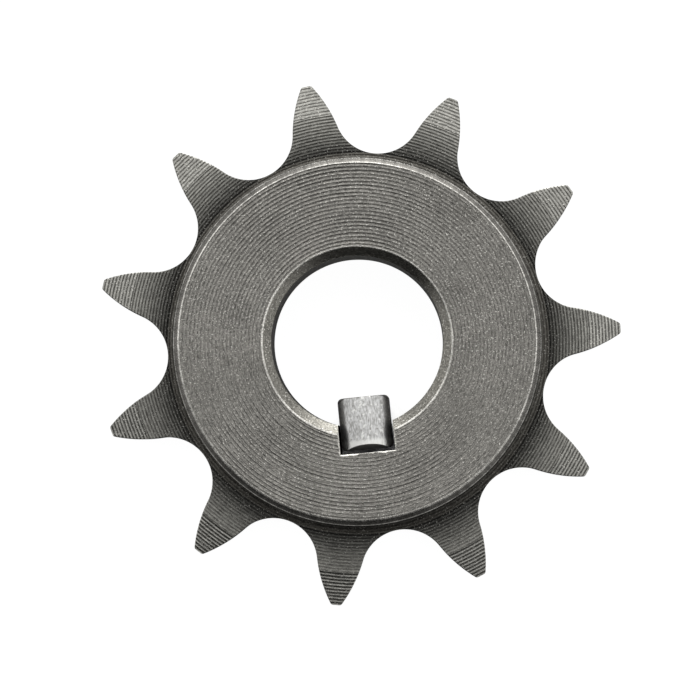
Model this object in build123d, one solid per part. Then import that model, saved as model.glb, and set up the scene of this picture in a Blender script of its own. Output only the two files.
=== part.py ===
from build123d import *
import math
import os

# An eleven tooth roller chain sprocket with a raised hub on one side,
# turned from steel bar, and the loose parallel key that stands in its keyway.
# Millimetres. The sprocket lies on the flat back of its tooth plate.
# The origin is on the bore axis at that back face, with +Z up through the hub.

# Chain and teeth
chain_pitch = 12.7
tooth_count = 11
seat_radius = 4.22
seat_angle = 125.0
flank_radius = 13.3
tooth_height = 2.7  # from the pitch circle to the tip
tip_corner_radius = 0.3

# Tooth plate
plate_thickness = 3.0
relief_height = 3.15  # how far in from the tip both sides taper
relief_depth = 0.55  # how much each side has lost at the tip

# Hub
hub_height = 7.0  # above the plate
hub_diameter = 34.8
hub_edge_chamfer = 0.45
hub_root_radius = 0.85

# Bore
shaft_diameter = 16.0
shaft_clearance = 0.25  # on the diameter
bore_front_chamfer = 0.8
bore_back_chamfer = 0.5

# Key, and the keyway that takes it
key_width = 4.9
key_height = 5.0
key_edge_radius = 0.45
key_lead_height = 0.5  # bevel ground on the outer edge of the upper end
key_lead_length = 0.75
key_side_gap = 0.15
key_crown_gap = 0.3
keyway_depth = 2.4  # from the bore wall
keyway_lead = 5.9  # degrees from the middle of the nearest tooth gap to the keyway

# Values worked out from those above
tooth_step = 360 / tooth_count
pitch_radius = chain_pitch / (2 * math.sin(math.radians(tooth_step / 2)))
tip_radius = pitch_radius + tooth_height
bore_radius = (shaft_diameter + shaft_clearance) / 2
hub_radius = hub_diameter / 2
total_height = plate_thickness + hub_height
keyway_width = key_width + 2 * key_side_gap
keyway_floor = bore_radius + keyway_depth  # from the axis
key_length = total_height  # flush with the hub face and the back face
key_outer_face = keyway_floor - key_crown_gap
first_gap_angle = keyway_lead - 90  # the keyway points along -Y


def polar(radius, degrees):
    """A point in the XY plane from its distance and direction."""
    angle = math.radians(degrees)
    return Vector(radius * math.cos(angle), radius * math.sin(angle))


def plate_outline():
    """Flat outline of the toothed plate: a disc less the gaps between its teeth."""
    disc = Circle(tip_radius)
    gaps = [Rot(Z=first_gap_angle + i * tooth_step) * tooth_gap() for i in range(tooth_count)]
    outline = disc - gaps
    # The corners of the tip lands are the only ones outside the pitch circle
    corners = [v for v in outline.vertices() if Vector(v).length > pitch_radius]
    return fillet(corners, tip_corner_radius)


def tooth_gap():
    """The gap between two teeth, centred on +X: a roller seat and two convex flanks."""
    seat_centre = Vector(pitch_radius, 0)
    # Where the seat passes into the flank, and the direction out through that point
    outward = polar(1, 180 - seat_angle / 2)
    seat_end = seat_centre + outward * seat_radius
    flank_centre = seat_centre + outward * (seat_radius + flank_radius)
    # The flank runs on past the tip circle, so the gap is open there
    open_radius = tip_radius + seat_radius
    flank_end = circle_crossing(flank_centre, flank_radius, open_radius)
    flank_middle = (seat_end + flank_end) / 2 - flank_centre
    flank_middle = flank_centre + flank_middle.normalized() * flank_radius

    with BuildSketch() as gap:
        with BuildLine():
            ThreePointArc(flank_end, flank_middle, seat_end)
            ThreePointArc(seat_end, seat_centre - Vector(seat_radius, 0), mirrored(seat_end))
            ThreePointArc(mirrored(seat_end), mirrored(flank_middle), mirrored(flank_end))
            ThreePointArc(mirrored(flank_end), Vector(open_radius, 0), flank_end)
        make_face()
    return gap.sketch


def mirrored(point):
    """The same point on the other side of the X axis."""
    return Vector(point.X, -point.Y)


def circle_crossing(centre, radius, about_origin):
    """Where a circle meets one about the origin, at the crossing nearer to the X axis."""
    distance = centre.length
    along = (distance**2 + about_origin**2 - radius**2) / (2 * distance)
    aside = math.sqrt(about_origin**2 - along**2)
    direction = centre.normalized()
    normal = Vector(direction.Y, -direction.X)
    return direction * along + normal * aside


def turned_plate():
    """The plate as the lathe leaves it: a disc whose rim tapers on both sides."""
    taper_start = tip_radius - relief_height
    # The taper runs on past the tip, so that the tooth outline alone sets the tip
    reach = 1.0
    slope = relief_depth / relief_height
    edge = relief_depth + slope * reach
    with BuildSketch(Plane.XZ) as section:
        with BuildLine():
            Polyline(
                (0, 0),
                (taper_start, 0),
                (tip_radius + reach, edge),
                (tip_radius + reach, plate_thickness - edge),
                (taper_start, plate_thickness),
                (0, plate_thickness),
                close=True,
            )
        make_face()
    return revolve(section.sketch, Axis.Z)


def hub():
    """The hub: chamfered at its face and swept into the plate by a small root radius."""
    foot = hub_radius + hub_root_radius
    shoulder = plate_thickness + hub_root_radius
    root_centre = Vector(foot, shoulder)
    root_middle = root_centre + polar(hub_root_radius, 225)
    with BuildSketch(Plane.XZ) as section:
        with BuildLine():
            Polyline(
                (hub_radius, shoulder),
                (hub_radius, total_height - hub_edge_chamfer),
                (hub_radius - hub_edge_chamfer, total_height),
                (0, total_height),
                (0, plate_thickness),
                (foot, plate_thickness),
            )
            ThreePointArc((foot, plate_thickness), root_middle, (hub_radius, shoulder))
        make_face()
    return revolve(section.sketch, Axis.Z)


def bore():
    """The round bore with a chamfer at each end, as the metal that it takes away."""
    front = total_height - bore_front_chamfer
    with BuildSketch(Plane.XZ) as section:
        with BuildLine():
            Polyline(
                (0, 0),
                (bore_radius + bore_back_chamfer, 0),
                (bore_radius, bore_back_chamfer),
                (bore_radius, front),
                (bore_radius + bore_front_chamfer, total_height),
                (0, total_height),
                close=True,
            )
        make_face()
    return revolve(section.sketch, Axis.Z)


def keyway():
    """The broached slot through the full height, along -Y from the bore."""
    return Box(keyway_width, keyway_floor, total_height, align=(Align.CENTER, Align.MAX, Align.MIN))


def make_sprocket():
    """The whole sprocket, one piece of steel."""
    teeth = extrude(plate_outline(), plate_thickness) & turned_plate()
    return teeth + hub() - bore() - keyway()


def make_key():
    """A parallel key with round ends, stood on end in the keyway."""
    straight = key_length - key_width
    with BuildSketch(Plane.XZ) as outline:
        SlotCenterToCenter(straight, key_width, rotation=90)
    blank = extrude(outline.sketch, key_height)
    rims = blank.edges().filter_by(Plane.XZ)
    key = fillet(rims, key_edge_radius)

    # The lead bevel, a flat across the outer edge at the upper end
    top = key_length / 2
    with BuildSketch(Plane.YZ) as wedge:
        with BuildLine():
            Polyline(
                (-key_height, top),
                (-key_height + key_lead_height, top),
                (-key_height, top - key_lead_length),
                close=True,
            )
        make_face()
    return key - extrude(wedge.sketch, key_width, both=True)


def place_key(key):
    """Stands the key on the ground, a crown gap short of the floor of the keyway."""
    return Pos(0, key_height - key_outer_face, key_length / 2) * key


os.makedirs("parts", exist_ok=True)
export_step(make_sprocket(), "parts/sprocket.step")
export_step(place_key(make_key()), "parts/key.step")
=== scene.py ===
"""A small roller chain sprocket, turned from steel bar, with its loose parallel key.

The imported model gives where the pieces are. This script gives them their real surfaces: the feed marks
that the lathe left on every turned face, the bright rubbed edges, the cut tooth flanks and the ground key.
Sizes of the real object are in millimetres, and meshes are in metres.
"""

import logging
import math
from collections.abc import Iterable
from dataclasses import dataclass, field
from enum import Enum, IntEnum

import bmesh
import bpy
import numpy as np
from mathutils import Matrix, Vector


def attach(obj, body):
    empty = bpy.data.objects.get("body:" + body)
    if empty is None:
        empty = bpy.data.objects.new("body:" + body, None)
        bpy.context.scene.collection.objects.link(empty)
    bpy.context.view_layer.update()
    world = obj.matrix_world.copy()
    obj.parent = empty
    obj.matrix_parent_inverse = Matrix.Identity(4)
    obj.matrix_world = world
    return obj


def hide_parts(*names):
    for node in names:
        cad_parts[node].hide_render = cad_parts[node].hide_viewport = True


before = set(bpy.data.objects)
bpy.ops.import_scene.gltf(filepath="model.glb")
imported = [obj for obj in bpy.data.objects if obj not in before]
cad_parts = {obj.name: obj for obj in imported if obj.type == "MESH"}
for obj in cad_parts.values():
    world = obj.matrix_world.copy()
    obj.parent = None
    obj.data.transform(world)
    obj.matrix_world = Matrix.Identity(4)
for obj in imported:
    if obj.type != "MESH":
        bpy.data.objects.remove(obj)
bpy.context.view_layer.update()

log = logging.getLogger("sprocket")

MM = 0.001
BODY = "root"

# Edges that turn by more than this stay crisp
CORNER_DEG = 30.0

# Places this close together, in mm, count as one
TOLERANCE_MM = 0.001

Node = bpy.types.Node
NodeTree = bpy.types.NodeTree
Socket = bpy.types.NodeSocket
Colour = tuple[float, float, float, float]
Point = tuple[float, float, float]
Span = tuple[float, float]

# Nearly all values of a noise texture lie in the wide span, and most of them in the narrow one
NOISE_WIDE: Span = (0.3, 0.7)
NOISE_NARROW: Span = (0.35, 0.65)


def linear(hex_colour: str) -> Colour:
    """Turns an sRGB hex colour into the linear colour that a shader takes.

    Args:
        hex_colour: six hex digits, such as "8a8984".

    Returns:
        Red, green, blue and an alpha of 1.
    """
    channels = [int(hex_colour[i:i + 2], 16) / 255 for i in (0, 2, 4)]
    red, green, blue = (c / 12.92 if c <= 0.04045 else ((c + 0.055) / 1.055) ** 2.4 for c in channels)
    return red, green, blue, 1.0


def add_node(
    tree: NodeTree,
    kind: str,
    settings: dict[str, object] | None = None,
    inputs: dict[str | int, object] | None = None,
) -> Node:
    """Adds a node with its settings, its fixed values and its links.

    Args:
        tree: the tree that takes the node.
        kind: the node's type, such as "ShaderNodeMath".
        settings: the node's own properties.
        inputs: for each input, by name or place, a value or the socket that feeds it.

    Returns:
        The new node.
    """
    node = tree.nodes.new(kind)
    for name, value in (settings or {}).items():
        setattr(node, name, value)
    for key, value in (inputs or {}).items():
        if isinstance(value, Socket):
            tree.links.new(value, node.inputs[key])
        else:
            node.inputs[key].default_value = value
    return node


def new_steel(name: str) -> tuple[bpy.types.Material, NodeTree, Node]:
    """Starts a bare metal, with the default IOR.

    Args:
        name: the material's name.

    Returns:
        The material, its node tree and its surface shader.
    """
    made = bpy.data.materials.new(name)
    made.use_nodes = True
    tree = made.node_tree
    shader = tree.nodes["Principled BSDF"]
    shader.inputs["Metallic"].default_value = 1.0
    return made, tree, shader


def carve(blank: bpy.types.Object, tool: bpy.types.Object) -> None:
    """Cuts one solid out of another, and the tool's materials stay on the cut.

    Args:
        blank: the solid that is cut.
        tool: the metal that goes, with the same material slots. It is removed.
    """
    cut = blank.modifiers.new("cut", "BOOLEAN")
    cut.operation = "DIFFERENCE"
    cut.solver = "EXACT"
    cut.object = tool
    cut.material_mode = "INDEX"
    graph = bpy.context.evaluated_depsgraph_get()
    finished = bpy.data.meshes.new_from_object(blank.evaluated_get(graph))
    blank.modifiers.remove(cut)
    blank.data = finished
    bpy.data.objects.remove(tool)


def polar_row(radii: np.ndarray, turns: np.ndarray, heights: np.ndarray) -> list[Point]:
    """Gives the places that lie at these radii and turns round the axis, and at these heights."""
    return [(r * math.cos(turn), r * math.sin(turn), z) for r, turn, z in zip(radii, turns, heights)]


@dataclass
class SkinMesh:
    """Points in mm and faces, gathered row by row, with the material slot of each face."""

    points: list[Point] = field(default_factory=list)
    faces: list[tuple[int, ...]] = field(default_factory=list)
    slots: list[int] = field(default_factory=list)

    def add_row(self, row: Iterable[Point]) -> list[int]:
        """Adds a row of points.

        Args:
            row: their places in mm.

        Returns:
            Their numbers in the mesh.
        """
        first = len(self.points)
        self.points.extend(row)
        return list(range(first, len(self.points)))

    def add_face(self, row: list[int], slot: int) -> None:
        """Fills the inside of a row with one face of this material slot."""
        self.faces.append(tuple(row))
        self.slots.append(int(slot))

    def join_rows(self, low: list[int], high: list[int], slot: int, closed: bool = True) -> None:
        """Fills the strip between two rows, which both run the same way.

        Args:
            low: the first row's points.
            high: the second row's points.
            slot: the strip's material slot.
            closed: whether the strip runs right round.
        """
        count = len(low)
        for i in range(count if closed else count - 1):
            j = (i + 1) % count
            self.add_face([low[i], low[j], high[j], high[i]], slot)

    def place(self, name: str, materials: list[bpy.types.Material]) -> bpy.types.Object:
        """Makes the gathered faces into an object in the scene.

        Args:
            name: the object's name.
            materials: one for each slot, in order.

        Returns:
            The new object.
        """
        mesh = bpy.data.meshes.new(name)
        mesh.from_pydata([tuple(c * MM for c in point) for point in self.points], [], self.faces)
        for material in materials:
            mesh.materials.append(material)
        mesh.polygons.foreach_set("material_index", self.slots)
        mesh.update()
        made = bpy.data.objects.new(name, mesh)
        bpy.context.scene.collection.objects.link(made)
        return made


class Cut(IntEnum):
    """Each kind of surface on the sprocket, numbered as its material slots."""

    HUB_FACE = 0
    PLATE = 1
    RELIEF = 2
    BACK = 3
    HUB_WALL = 4
    HUB_ROOT = 5
    HUB_CHAMFER = 6
    BORE_CHAMFER = 7
    BORE_WALL = 8
    FLANK = 9
    KEYWAY = 10
    # Rubbed arrises, pale from wear and from a painted highlight
    RUBBED = 11


FEED_MARKED = {Cut.HUB_FACE, Cut.PLATE, Cut.RELIEF, Cut.BACK, Cut.HUB_WALL, Cut.HUB_ROOT, Cut.BORE_WALL}

# The rings of a turned surface, each with the cut of the strip that leads to it
Rings = list[tuple[list[int], Cut]]

# A corner that was rubbed round: how far out and up each ring lies from the sharp corner, in mm
Arris = tuple[tuple[float, float, Cut], ...]


class KeyCut(IntEnum):
    """Each kind of surface on the key, numbered as its material slots."""

    GROUND = 0
    BEVEL = 1
    WORN = 2


class Course(Enum):
    """Which way the tool moved as the work turned."""

    OUTWARD = "radius"
    ALONG = "height"


@dataclass(frozen=True)
class FeedMarks:
    """The marks of a turning tool, one feed apart."""

    feed_mm: float
    depth_mm: float
    start_mm: float
    course: Course = Course.OUTWARD
    # How far the depth of a mark swings as the work turns, as a share of it
    unevenness: float = 0.55
    # Where in a mark the mesh has points, in feeds
    phases: tuple[float, ...] = (0.0, 0.25, 0.5, 0.75)
    # How far the points stay from a limit, in feeds
    end_gap: float = 0.06
    # Keeps a point on a ridge from counting as the end of the mark before, in feeds
    rounding: float = 1e-6

    def stations(self, low: float, high: float) -> list[float]:
        """Finds the places where a mesh needs points to show the marks between two limits.

        Args:
            low: the lower limit in mm.
            high: the upper limit in mm.

        Returns:
            The places across the marks in mm, in rising order.
        """
        first = math.floor((low - self.start_mm) / self.feed_mm)
        last = math.ceil((high - self.start_mm) / self.feed_mm)
        places = [
            self.start_mm + (mark + phase) * self.feed_mm
            for mark in range(first, last + 1)
            for phase in self.phases
        ]
        gap = self.feed_mm * self.end_gap
        return [place for place in places if low + gap < place < high - gap]

    def hollow(self, place: float) -> float:
        """Gives how far below the ridges the surface lies at a place across the marks, from 0 to 1."""
        phase = ((place - self.start_mm) / self.feed_mm + self.rounding) % 1.0
        return 1 - (2 * phase - 1) ** 2

    def number(self, place: float) -> int:
        """Gives the number of the mark at a place."""
        return int((place - self.start_mm) // self.feed_mm)


@dataclass(frozen=True)
class MarkedLine:
    """The darker line in each feed mark: old oil and torn metal, and painted shade in its hollow. Its sizes
    are in feeds.
    """

    centre: float = 0.75
    half_width: float = 0.5
    # How much of the shade colour it takes, and how far its torn length swings that
    depth: float = 0.36
    ragged: float = 0.4


@dataclass(frozen=True)
class HubWallShade:
    """A band of painted shade beside the hub wall, darkest at its inner radius."""

    inner_mm: float
    outer_mm: float
    # The share of the light that is left where it is darkest, and how fast it fades out
    left: float
    fall: float = 1.3


@dataclass(frozen=True)
class PaintedSideShade:
    """Painted shade that darkens a turned face toward one side and lightens it on the other, as the light
    falls.
    """

    turn_deg: float
    # How bright the painted shade leaves the side it faces, and the side opposite
    shaded_level: float = 0.86
    lit_level: float = 1.07


@dataclass(frozen=True)
class LatheSteel:
    """Mild steel cut dry on a lathe: dull grey, its marks torn and specked, so no face shines as a mirror.

    The grain, specks and scratches of such a cut are some hundredths of a millimetre wide. They are drawn
    about a tenth wide, coarser than real, so as to show.
    """

    name: str
    colour: str = "878580"
    shade_colour: str = "282623"
    speck_colour: str = "d6d4cd"
    roughness: float = 0.40
    roughness_swing: float = 0.20
    grain_mm: float = 0.11
    grain_swing: float = 0.39
    # Above 1 the grain leans to dark metal with a few bright places
    grain_lean: float = 1.5
    speck_mm: float = 0.12
    speck_share: float = 0.9
    # The noise that a speck starts from, and where it is full
    speck_span: Span = (0.68, 0.79)
    streak_mm: float = 0.09
    streak_length_mm: float = 0.4
    stain: float = 0.10
    stain_mm: float = 5.0
    bump_mm: float = 0.010
    marks: FeedMarks | None = None
    line: MarkedLine = MarkedLine()
    hub_wall_shade: HubWallShade | None = None
    side_shade: PaintedSideShade | None = None
    # Where the scratches have their stated length
    at_radius_mm: float = 15.0

    def material(self) -> bpy.types.Material:
        """Builds the material.

        Returns:
            The material, with its patterns laid round the axis.
        """
        made, tree, steel = new_steel(self.name)
        place = add_node(tree, "ShaderNodeTexCoord").outputs["Object"]
        radius, height, heading = self.round_the_axis(tree, place)
        streaks = self.streaks(tree, radius, height, heading)
        grain = add_node(
            tree,
            "ShaderNodeTexNoise",
            inputs={"Vector": place, "Scale": 1 / (self.grain_mm * MM), "Detail": 1.0, "Roughness": 0.6},
        ).outputs["Fac"]

        # Base metal, with the dark line of each mark laid over it
        across = height if self.marks and self.marks.course is Course.ALONG else radius
        base = self.lined(tree, across, streaks) if self.marks else linear(self.colour)[:3]
        level = self.level(tree, place, radius, grain, streaks)
        # Painted shade, darker toward one side of the face
        if self.side_shade:
            level = self.shade_one_side(tree, heading, level)
        worn = add_node(tree, "ShaderNodeVectorMath", {"operation": "SCALE"}, {0: base, "Scale": level})
        specked = self.specked(tree, place, worn.outputs[0])
        tree.links.new(specked, steel.inputs["Base Color"])

        rough = add_node(
            tree,
            "ShaderNodeMapRange",
            inputs={
                "Value": grain,
                "From Min": NOISE_WIDE[0],
                "From Max": NOISE_WIDE[1],
                "To Min": self.roughness - self.roughness_swing / 2,
                "To Max": self.roughness + self.roughness_swing / 2,
            },
        )
        tree.links.new(rough.outputs[0], steel.inputs["Roughness"])
        torn = add_node(tree, "ShaderNodeMath", {"operation": "ADD"}, {0: streaks, 1: grain})
        bump = add_node(
            tree,
            "ShaderNodeBump",
            inputs={"Height": torn.outputs[0], "Strength": 1.0, "Distance": self.bump_mm * MM},
        )
        tree.links.new(bump.outputs[0], steel.inputs["Normal"])
        return made

    def round_the_axis(self, tree: NodeTree, place: Socket) -> tuple[Socket, Socket, Socket]:
        """Splits a place into its distances and its direction from the axis.

        Args:
            tree: the material's nodes.
            place: the place on the object.

        Returns:
            Its radius in mm, its height in mm and its heading round the axis.
        """
        split = add_node(tree, "ShaderNodeSeparateXYZ", inputs={0: place})
        flat = add_node(tree, "ShaderNodeCombineXYZ", inputs={0: split.outputs[0], 1: split.outputs[1]})
        length = add_node(tree, "ShaderNodeVectorMath", {"operation": "LENGTH"}, {0: flat.outputs[0]})
        heading = add_node(tree, "ShaderNodeVectorMath", {"operation": "NORMALIZE"}, {0: flat.outputs[0]})
        radius = add_node(
            tree, "ShaderNodeMath", {"operation": "DIVIDE"}, {0: length.outputs["Value"], 1: MM}
        )
        height = add_node(tree, "ShaderNodeMath", {"operation": "DIVIDE"}, {0: split.outputs[2], 1: MM})
        return radius.outputs[0], height.outputs[0], heading.outputs[0]

    def streaks(self, tree: NodeTree, radius: Socket, height: Socket, heading: Socket) -> Socket:
        """Draws short scratches that run round the axis, on faces and on walls alike.

        Args:
            tree: the material's nodes.
            radius: the distance from the axis in mm.
            height: the height in mm.
            heading: the direction from the axis.

        Returns:
            The noise of the scratches.
        """
        turns = self.at_radius_mm / self.streak_length_mm
        along = add_node(tree, "ShaderNodeVectorMath", {"operation": "SCALE"}, {0: heading, "Scale": turns})
        level = add_node(tree, "ShaderNodeMath", {"operation": "ADD"}, {0: radius, 1: height})
        across = add_node(
            tree, "ShaderNodeMath", {"operation": "DIVIDE"}, {0: level.outputs[0], 1: self.streak_mm}
        )
        lift = add_node(tree, "ShaderNodeCombineXYZ", inputs={2: across.outputs[0]})
        spot = add_node(
            tree, "ShaderNodeVectorMath", {"operation": "ADD"}, {0: along.outputs[0], 1: lift.outputs[0]}
        )
        return add_node(
            tree,
            "ShaderNodeTexNoise",
            inputs={"Vector": spot.outputs[0], "Scale": 1.0, "Detail": 2.0, "Roughness": 0.6},
        ).outputs["Fac"]

    def lined(self, tree: NodeTree, across: Socket, streaks: Socket) -> Socket:
        """Lays the painted shade and oil of the feed marks over the metal, torn along its length.

        Args:
            tree: the material's nodes.
            across: the place across the marks in mm.
            streaks: the noise of the scratches, which tears the lines.

        Returns:
            The metal's colour.
        """
        begun = add_node(
            tree, "ShaderNodeMath", {"operation": "SUBTRACT"}, {0: across, 1: self.marks.start_mm}
        )
        counted = add_node(
            tree, "ShaderNodeMath", {"operation": "DIVIDE"}, {0: begun.outputs[0], 1: self.marks.feed_mm}
        )
        centred = add_node(
            tree, "ShaderNodeMath", {"operation": "SUBTRACT"}, {0: counted.outputs[0], 1: self.line.centre}
        )
        # Folded at half a feed, this is the distance from the middle of the nearest line
        half_feed = 0.5
        offset = add_node(
            tree, "ShaderNodeMath", {"operation": "PINGPONG"}, {0: centred.outputs[0], 1: half_feed}
        )
        shade = add_node(
            tree,
            "ShaderNodeMapRange",
            {"interpolation_type": "SMOOTHSTEP"},
            {
                "Value": offset.outputs[0],
                "From Min": 0.0,
                "From Max": self.line.half_width,
                "To Min": self.line.depth,
                "To Max": 0.0,
            },
        )
        torn = add_node(
            tree,
            "ShaderNodeMapRange",
            inputs={
                "Value": streaks,
                "From Min": NOISE_WIDE[0],
                "From Max": NOISE_WIDE[1],
                "To Min": 1 + self.line.ragged,
                "To Max": 1 - self.line.ragged,
            },
        )
        laid = add_node(
            tree, "ShaderNodeMath", {"operation": "MULTIPLY"}, {0: shade.outputs[0], 1: torn.outputs[0]}
        )
        mixed = add_node(
            tree,
            "ShaderNodeMix",
            {"data_type": "RGBA"},
            {"Factor": laid.outputs[0], 6: linear(self.colour), 7: linear(self.shade_colour)},
        )
        return mixed.outputs[2]

    def level(self, tree: NodeTree, place: Socket, radius: Socket, grain: Socket, streaks: Socket) -> Socket:
        """Works out how bright the metal is left by its grain, its stains and the painted shade by the hub.

        Args:
            tree: the material's nodes.
            place: the place on the object.
            radius: the distance from the axis in mm.
            grain: the noise of the grain.
            streaks: the noise of the scratches.

        Returns:
            The brightness, about 1.
        """
        both = add_node(tree, "ShaderNodeMath", {"operation": "ADD"}, {0: grain, 1: streaks})
        grained = add_node(
            tree,
            "ShaderNodeMapRange",
            inputs={
                "Value": both.outputs[0],
                "From Min": 2 * NOISE_NARROW[0],
                "From Max": 2 * NOISE_NARROW[1],
                "To Min": 1 - self.grain_swing,
                "To Max": 1 + self.grain_swing,
            },
        )
        bright = add_node(
            tree, "ShaderNodeMath", {"operation": "POWER"}, {0: grained.outputs[0], 1: self.grain_lean}
        )
        patches = add_node(
            tree,
            "ShaderNodeTexNoise",
            inputs={"Vector": place, "Scale": 1 / (self.stain_mm * MM), "Detail": 3.0},
        )
        stained = add_node(
            tree,
            "ShaderNodeMapRange",
            inputs={
                "Value": patches.outputs["Fac"],
                "From Min": NOISE_NARROW[0],
                "From Max": NOISE_NARROW[1],
                "To Min": 1 + self.stain,
                "To Max": 1 - self.stain,
            },
        )
        level = add_node(
            tree, "ShaderNodeMath", {"operation": "MULTIPLY"}, {0: bright.outputs[0], 1: stained.outputs[0]}
        )
        # Painted shade darkens the plate toward the hub wall
        return self.shade_by_hub(tree, radius, level.outputs[0]) if self.hub_wall_shade else level.outputs[0]

    def shade_by_hub(self, tree: NodeTree, radius: Socket, level: Socket) -> Socket:
        """Darkens the metal toward the hub wall, as painted shade.

        Args:
            tree: the material's nodes.
            radius: the distance from the axis in mm.
            level: the brightness of the metal without the painted shade.

        Returns:
            The brightness with the painted shade.
        """
        near_hub = add_node(
            tree,
            "ShaderNodeMapRange",
            inputs={
                "Value": radius,
                "From Min": self.hub_wall_shade.inner_mm,
                "From Max": self.hub_wall_shade.outer_mm,
                "To Min": 1.0,
                "To Max": 0.0,
            },
        )
        faded = add_node(
            tree, "ShaderNodeMath", {"operation": "POWER"}, {0: near_hub.outputs[0], 1: self.hub_wall_shade.fall}
        )
        shade_factor = add_node(
            tree,
            "ShaderNodeMapRange",
            inputs={"Value": faded.outputs[0], "To Min": 1.0, "To Max": self.hub_wall_shade.left},
        )
        return add_node(
            tree, "ShaderNodeMath", {"operation": "MULTIPLY"}, {0: level, 1: shade_factor.outputs[0]}
        ).outputs[0]

    def shade_one_side(self, tree: NodeTree, heading: Socket, level: Socket) -> Socket:
        """Darkens the metal toward one side, and lightens it on the other, as painted shade.

        Args:
            tree: the material's nodes.
            heading: the direction from the axis.
            level: the brightness of the metal without the painted shade.

        Returns:
            The brightness with the painted shade.
        """
        turn = math.radians(self.side_shade.turn_deg)
        side = (math.cos(turn), math.sin(turn), 0.0)
        facing = add_node(tree, "ShaderNodeVectorMath", {"operation": "DOT_PRODUCT"}, {0: heading, 1: side})
        dimming = add_node(
            tree,
            "ShaderNodeMapRange",
            inputs={
                "Value": facing.outputs["Value"],
                "From Min": -1.0,
                "From Max": 1.0,
                "To Min": self.side_shade.lit_level,
                "To Max": self.side_shade.shaded_level,
            },
        )
        return add_node(
            tree, "ShaderNodeMath", {"operation": "MULTIPLY"}, {0: level, 1: dimming.outputs[0]}
        ).outputs[0]

    def specked(self, tree: NodeTree, place: Socket, metal: Socket) -> Socket:
        """Lays painted glints over the metal: bright points where torn chips catch the light.

        Args:
            tree: the material's nodes.
            place: the place on the object.
            metal: the colour under them.

        Returns:
            The colour with the points in it.
        """
        chips = add_node(
            tree,
            "ShaderNodeTexNoise",
            inputs={"Vector": place, "Scale": 1 / (self.speck_mm * MM), "Detail": 0.0},
        )
        speck = add_node(
            tree,
            "ShaderNodeMapRange",
            inputs={
                "Value": chips.outputs["Fac"],
                "From Min": self.speck_span[0],
                "From Max": self.speck_span[1],
                "To Min": 0.0,
                "To Max": self.speck_share,
            },
        )
        mixed = add_node(
            tree,
            "ShaderNodeMix",
            {"data_type": "RGBA"},
            {"Factor": speck.outputs[0], 6: metal, 7: linear(self.speck_colour)},
        )
        return mixed.outputs[2]


@dataclass(frozen=True)
class CutSteel:
    """Steel cut along the axis by a cutter or a broach: smoother, with fine lines up the wall.

    The lines are drawn coarser than real, so as to show.
    """

    name: str
    colour: str = "75736e"
    line_colour: str = "4e4c48"
    roughness: float = 0.36
    metallic: float = 1.0
    specular: float = 0.5
    line_mm: float = 0.12
    line_length_mm: float = 3.0
    bump_mm: float = 0.008

    def material(self) -> bpy.types.Material:
        """Builds the material.

        Returns:
            The material, with its lines along the axis.
        """
        made, tree, steel = new_steel(self.name)
        steel.inputs["Metallic"].default_value = self.metallic
        steel.inputs["Roughness"].default_value = self.roughness
        steel.inputs["Specular IOR Level"].default_value = self.specular
        place = add_node(tree, "ShaderNodeTexCoord").outputs["Object"]
        across = 1 / (self.line_mm * MM)
        along = 1 / (self.line_length_mm * MM)
        drawn = add_node(
            tree, "ShaderNodeMapping", inputs={"Vector": place, "Scale": (across, across, along)}
        )
        lines = add_node(
            tree,
            "ShaderNodeTexNoise",
            inputs={"Vector": drawn.outputs[0], "Scale": 1.0, "Detail": 3.0, "Roughness": 0.6},
        ).outputs["Fac"]
        shade = add_node(
            tree,
            "ShaderNodeMapRange",
            inputs={"Value": lines, "From Min": NOISE_NARROW[0], "From Max": NOISE_NARROW[1]},
        )
        tint = add_node(
            tree,
            "ShaderNodeMix",
            {"data_type": "RGBA"},
            {"Factor": shade.outputs[0], 6: linear(self.line_colour), 7: linear(self.colour)},
        )
        tree.links.new(tint.outputs[2], steel.inputs["Base Color"])
        bump = add_node(
            tree,
            "ShaderNodeBump",
            inputs={"Height": lines, "Strength": 1.0, "Distance": self.bump_mm * MM},
        )
        tree.links.new(bump.outputs[0], steel.inputs["Normal"])
        return made


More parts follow.
